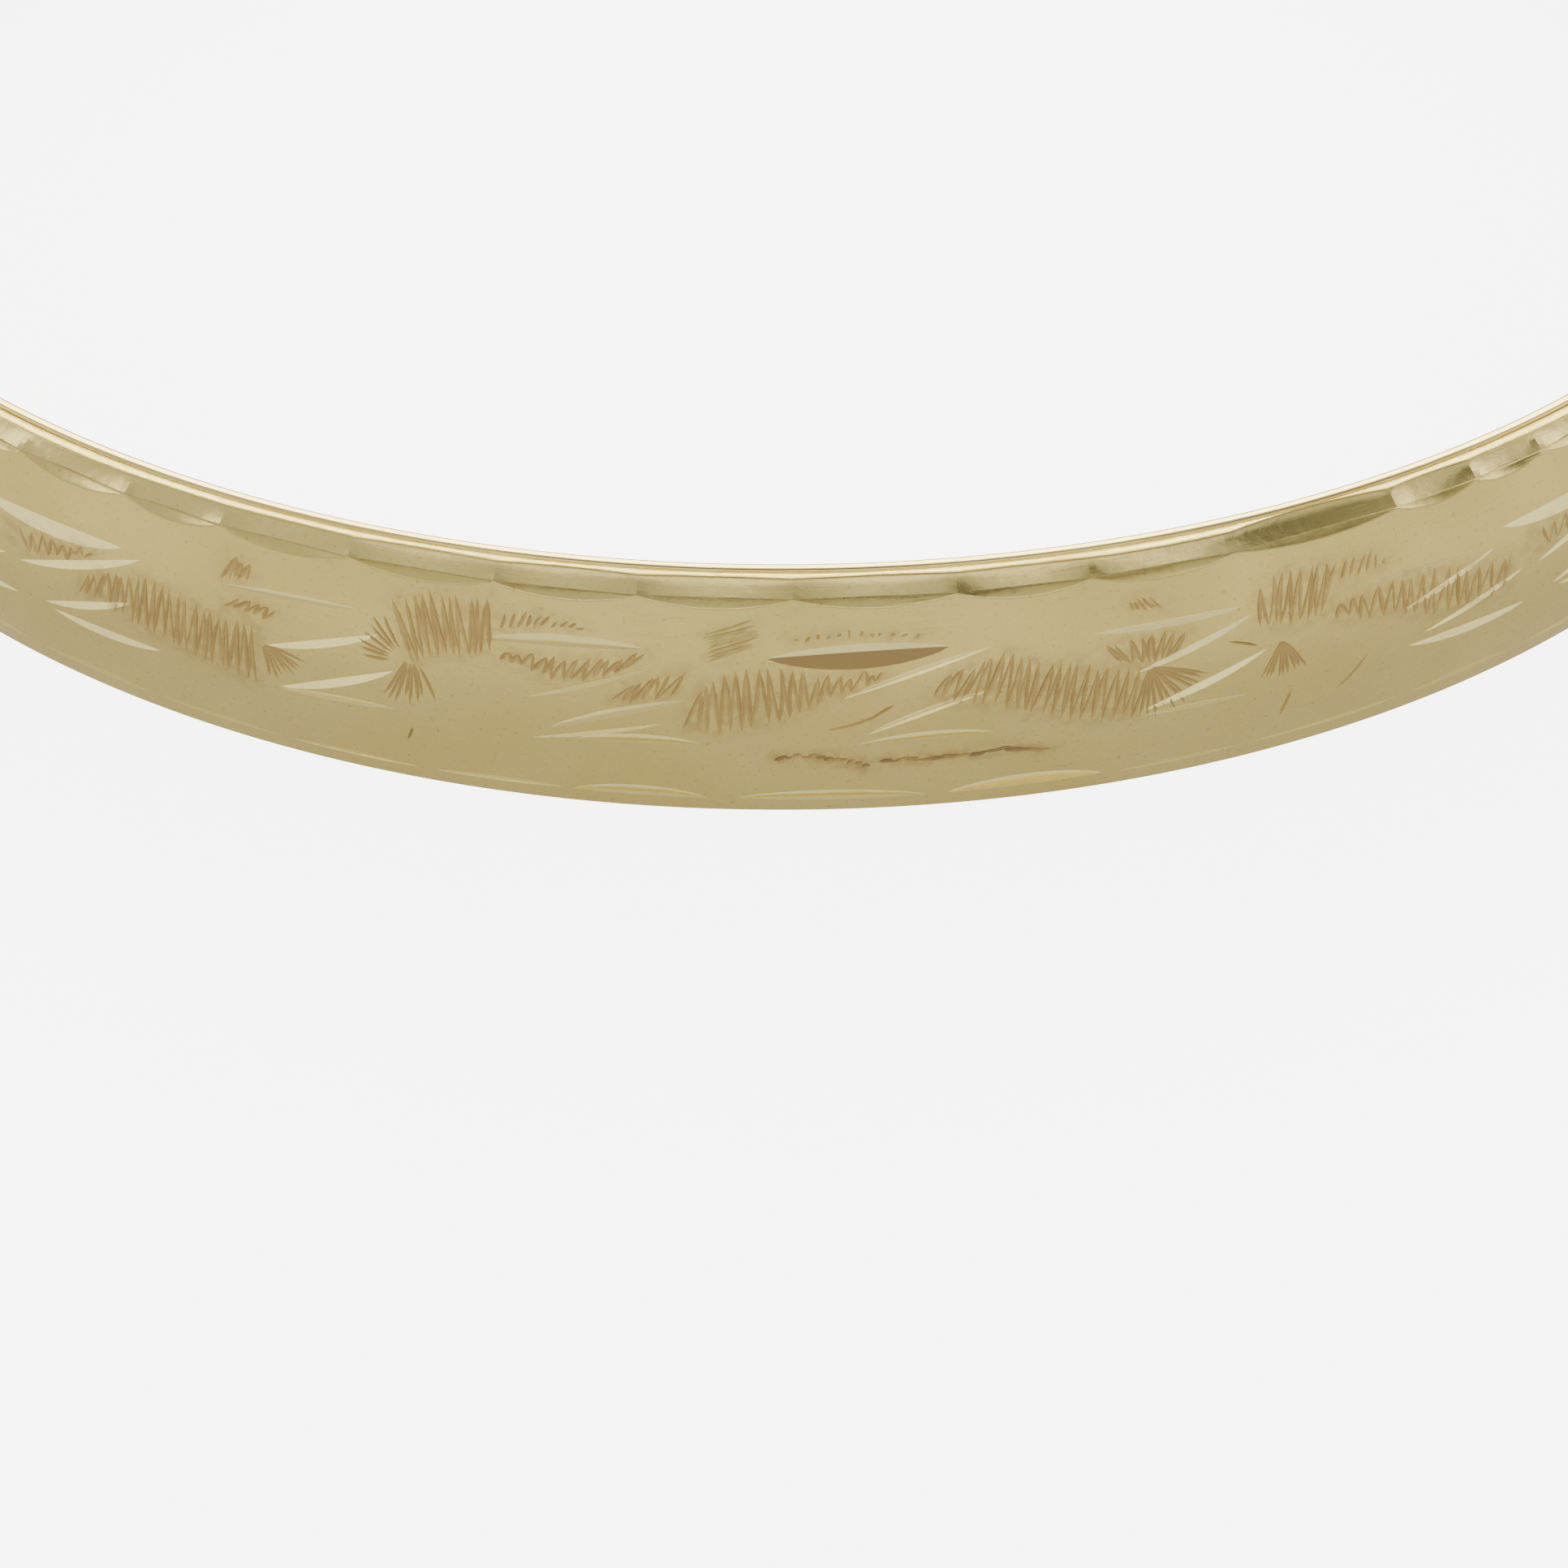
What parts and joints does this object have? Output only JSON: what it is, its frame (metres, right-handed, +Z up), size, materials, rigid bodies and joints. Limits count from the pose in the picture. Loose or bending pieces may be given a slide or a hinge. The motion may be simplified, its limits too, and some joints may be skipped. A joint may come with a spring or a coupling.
{
  "type": "hinged bangle bracelet",
  "caption": "Hollow oval hinged bangle with an engraved front half, bright-cut borders, a sprung tongue clasp and a figure-of-eight safety catch.",
  "frame": {"origin": "middle of the oval, on the plane of the lower rim", "axes": "+X along the oval's length from the hinge to the clasp, -Y towards the engraved half, +Z up through the hand opening"},
  "size_m": [0.0662, 0.0566, 0.0091],
  "materials": {
    "engraved_gold": "hand engraved and bright cut",
    "plain_gold": "polished",
    "liner_gold": "polished",
    "block_gold": "filed, soldered",
    "hinge_gold": "polished",
    "pin_gold": "polished wire",
    "spring_gold": "hard rolled"
  },
  "bodies": {
    "back_half": {"back_outer_shell": "plain_gold", "back_inner_liner": "liner_gold", "back_hinge_block": "block_gold", "clasp_mouth_plate": "block_gold", "back_knuckle_lower": "hinge_gold", "back_knuckle_middle": "hinge_gold", "back_knuckle_upper": "hinge_gold", "hinge_pin": "pin_gold", "catch_stud": "hinge_gold"},
    "front_half": {"front_outer_shell": "engraved_gold", "front_inner_liner": "liner_gold", "front_hinge_block": "block_gold", "tongue_seat_plate": "block_gold", "front_knuckle_lower": "hinge_gold", "front_knuckle_upper": "hinge_gold", "tongue": "spring_gold", "catch_lug_inner": "hinge_gold", "catch_lug_outer": "hinge_gold", "catch_pin": "pin_gold"},
    "snap": {"snap_leaf": "spring_gold", "thumb_button": "hinge_gold"},
    "catch": {"safety_catch": "hinge_gold"}
  },
  "joints": [
    {"name": "bangle_hinge", "type": "hinge", "parent": "back_half", "child": "front_half", "pos_m": [-0.0323, 0, 0.00395], "axis": [0, 0, -1], "range_deg": [0, 60]},
    {"name": "snap_press", "type": "hinge", "parent": "front_half", "child": "snap", "pos_m": [0.03152, 0.0042, 0.00395], "axis": [0, 0, -1], "range_deg": [0, 3], "stiffness_Nm_per_rad": 0.02},
    {"name": "catch_swing", "type": "hinge", "parent": "front_half", "child": "catch", "pos_m": [0.0313, -0.0025, 0.00835], "axis": [1, 0, 0], "range_deg": [0, 150]}
  ]
}
